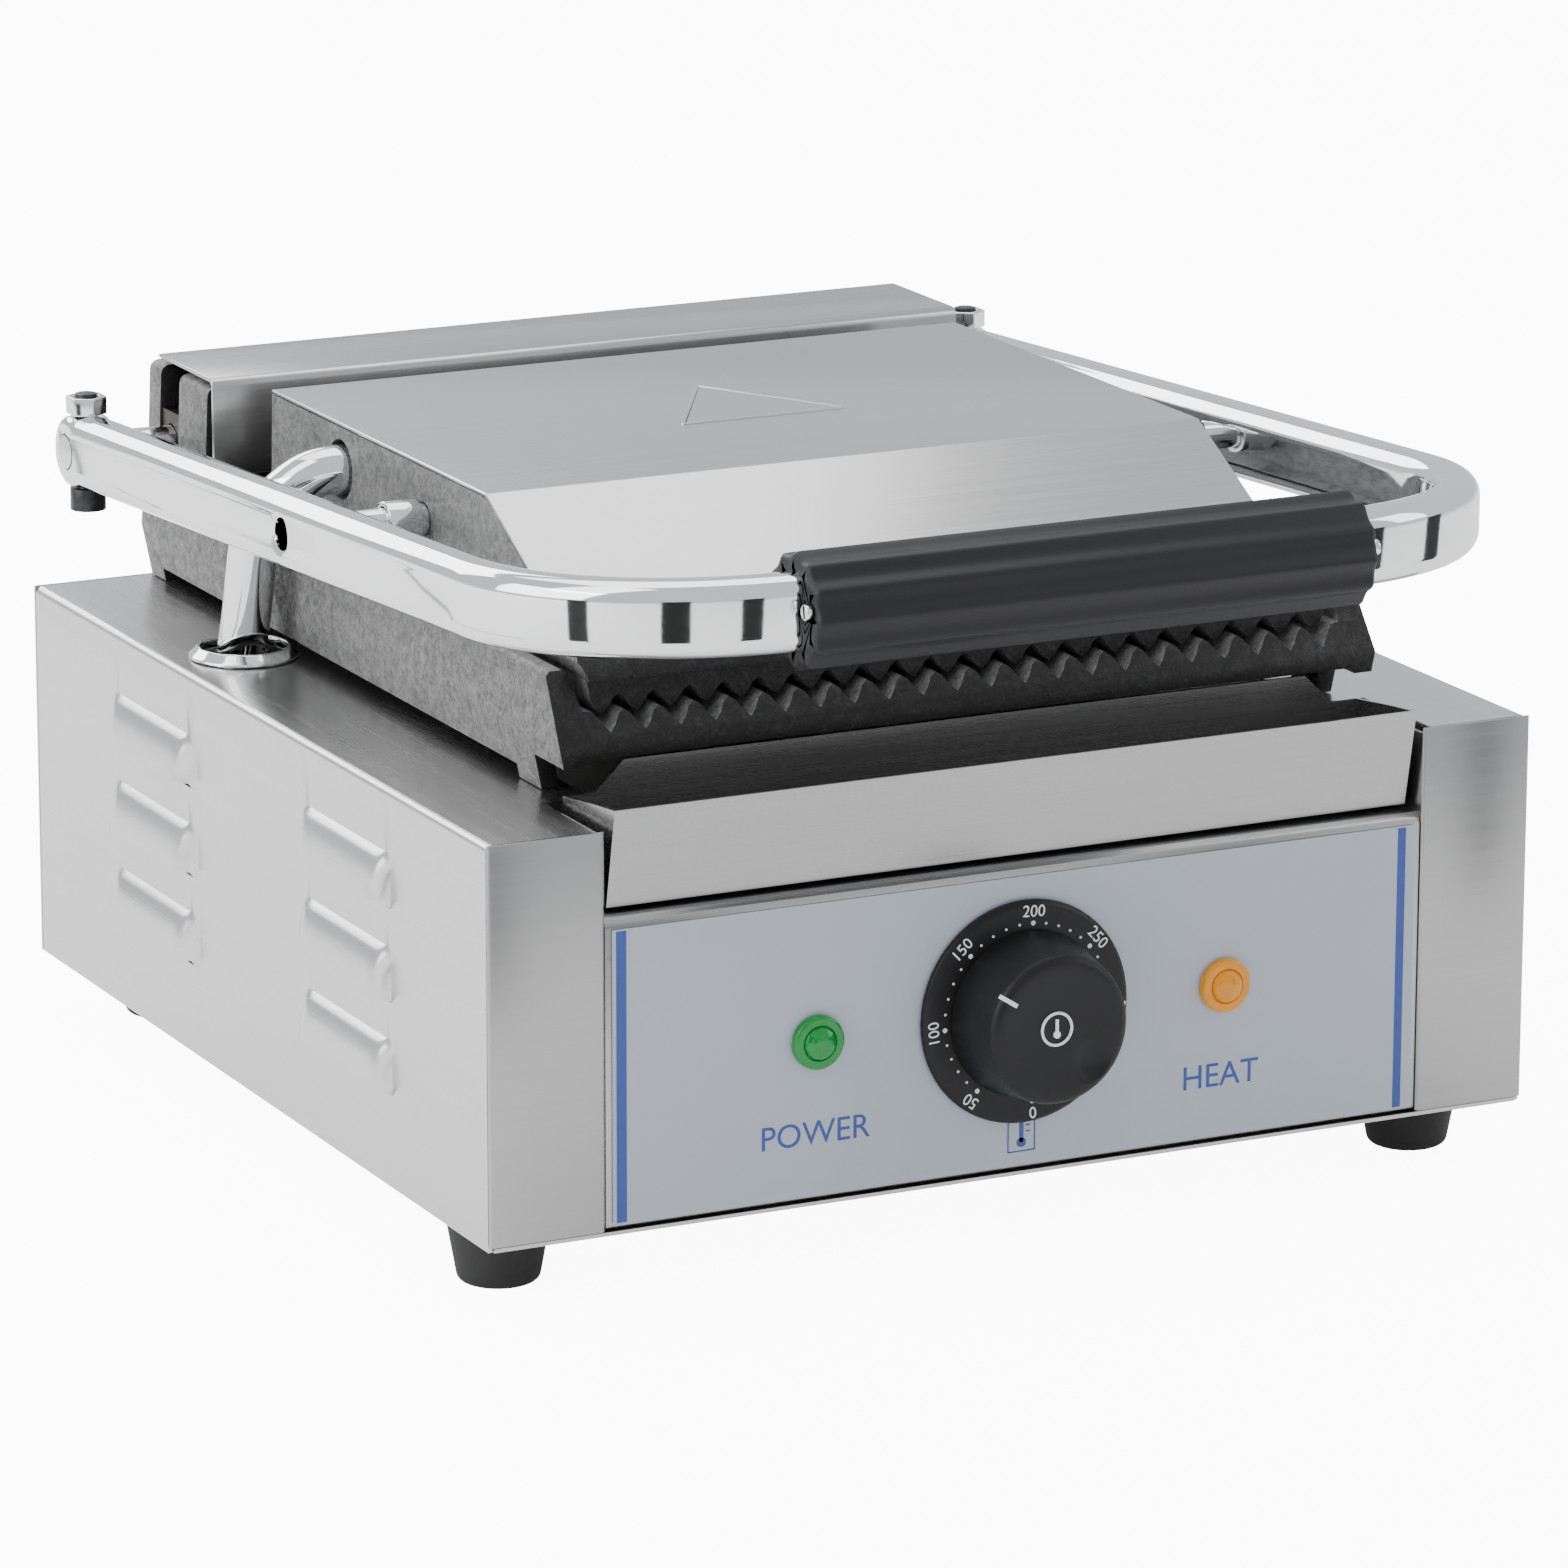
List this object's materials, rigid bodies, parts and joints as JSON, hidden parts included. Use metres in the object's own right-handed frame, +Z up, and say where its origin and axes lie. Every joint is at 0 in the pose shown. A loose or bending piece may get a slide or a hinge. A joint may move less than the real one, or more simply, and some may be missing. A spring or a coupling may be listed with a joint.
{
  "type": "panini press",
  "caption": "Countertop contact grill with a stainless base, ribbed cast plates, a tube handle that lifts the self-levelling upper plate, a drip tray and a control dial.",
  "frame": {"origin": "middle of the grill's bounding box at the floor, under the feet", "axes": "+Z up, -Y towards the user and the control panel, +X to the right as the user faces it"},
  "size_m": [0.2982, 0.349, 0.1908],
  "materials": {
    "back_panel": "brushed stainless sheet",
    "base_floor": "brushed stainless sheet",
    "cable_gland": "moulded black plastic",
    "clamp_bolt_left": "black oxide",
    "clamp_bolt_right": "black oxide",
    "clamp_nut_left": "polished chrome",
    "clamp_nut_right": "polished chrome",
    "conduit_collar": "polished chrome",
    "conduit_locknut": "zinc plated steel",
    "conduit_tube": "polished chrome",
    "cross_shaft": "polished chrome",
    "cross_sleeve_left": "polished chrome",
    "cross_sleeve_right": "polished chrome",
    "dial_bezel": "moulded black plastic",
    "drip_tray": "brushed stainless sheet",
    "foot_front_left": "moulded rubber",
    "foot_front_right": "moulded rubber",
    "foot_rear_left": "moulded rubber",
    "foot_rear_right": "moulded rubber",
    "front_cap_left": "brushed stainless sheet",
    "front_cap_right": "brushed stainless sheet",
    "front_panel": "brushed stainless sheet",
    "grip": "fluted charcoal plastic",
    "grip_screw_left": "polished chrome",
    "grip_screw_right": "polished chrome",
    "handle_tube": "polished chrome",
    "heat_lamp_body": "moulded black plastic",
    "heat_lamp_lens": "translucent amber",
    "heater_clamp_plate": "zinc plated steel",
    "hinge_bush_left": "sintered bronze",
    "hinge_bush_right": "sintered bronze",
    "knob": "moulded black plastic",
    "lid_cover": "brushed stainless sheet",
    "lower_heater": "heat-dulled sheath",
    "lower_plate": "sand cast, black",
    "panel_label": "satin printed overlay",
    "power_lamp_body": "moulded black plastic",
    "power_lamp_lens": "translucent green",
    "rear_cover": "brushed stainless sheet",
    "rear_shaft": "polished chrome",
    "side_shell_left": "brushed stainless sheet",
    "side_shell_right": "brushed stainless sheet",
    "terminal_block": "glazed ceramic",
    "thermostat_body": "zinc plated steel",
    "thermostat_capillary": "copper",
    "thermostat_spindle": "zinc plated steel",
    "torsion_spring_left": "zinc plated steel",
    "torsion_spring_right": "zinc plated steel",
    "upper_heater": "heat-dulled sheath",
    "upper_plate": "sand cast, black"
  },
  "bodies": {
    "base": {"base_floor": "base_floor", "side_shell_left": "side_shell_left", "side_shell_right": "side_shell_right", "front_cap_left": "front_cap_left", "front_cap_right": "front_cap_right", "back_panel": "back_panel", "front_panel": "front_panel", "rear_cover": "rear_cover", "panel_label": "panel_label", "foot_front_left": "foot_front_left", "foot_front_right": "foot_front_right", "foot_rear_left": "foot_rear_left", "foot_rear_right": "foot_rear_right", "power_lamp_lens": "power_lamp_lens", "heat_lamp_lens": "heat_lamp_lens", "power_lamp_body": "power_lamp_body", "heat_lamp_body": "heat_lamp_body", "dial_bezel": "dial_bezel", "cable_gland": "cable_gland", "thermostat_body": "thermostat_body", "heater_clamp_plate": "heater_clamp_plate", "torsion_spring_left": "torsion_spring_left", "torsion_spring_right": "torsion_spring_right", "thermostat_capillary": "thermostat_capillary", "terminal_block": "terminal_block", "lower_plate": "lower_plate", "lower_heater": "lower_heater", "hinge_bush_left": "hinge_bush_left", "hinge_bush_right": "hinge_bush_right", "conduit_collar": "conduit_collar"},
    "handle_frame": {"rear_shaft": "rear_shaft", "handle_tube": "handle_tube", "grip": "grip", "grip_screw_left": "grip_screw_left", "grip_screw_right": "grip_screw_right", "clamp_bolt_left": "clamp_bolt_left", "clamp_bolt_right": "clamp_bolt_right", "clamp_nut_left": "clamp_nut_left", "clamp_nut_right": "clamp_nut_right", "cross_shaft": "cross_shaft", "cross_sleeve_left": "cross_sleeve_left", "cross_sleeve_right": "cross_sleeve_right"},
    "upper_plate_unit": {"upper_plate": "upper_plate", "upper_heater": "upper_heater", "lid_cover": "lid_cover", "conduit_tube": "conduit_tube", "conduit_locknut": "conduit_locknut"},
    "tray": {"drip_tray": "drip_tray"},
    "control_knob": {"knob": "knob", "thermostat_spindle": "thermostat_spindle"}
  },
  "joints": [
    {"name": "lid_hinge", "type": "hinge", "parent": "base", "child": "handle_frame", "pos_m": [0, 0.14905, 0.159], "axis": [-1, 0, 0], "range_deg": [0, 60], "deforming": ["torsion_spring_left", "torsion_spring_right"]},
    {"name": "plate_tilt", "type": "hinge", "parent": "handle_frame", "child": "upper_plate_unit", "pos_m": [0, 0.00305, 0.16733], "axis": [1, 0, 0], "range_deg": [-1, 1]},
    {"name": "tray_slide", "type": "slide", "parent": "base", "child": "tray", "axis": [0, -1, 0], "range_m": [0, 0.06]},
    {"name": "knob_turn", "type": "hinge", "parent": "base", "child": "control_knob", "pos_m": [0, -0.13045, 0.06], "axis": [0, 1, 0], "range_deg": [-131, 150]}
  ]
}
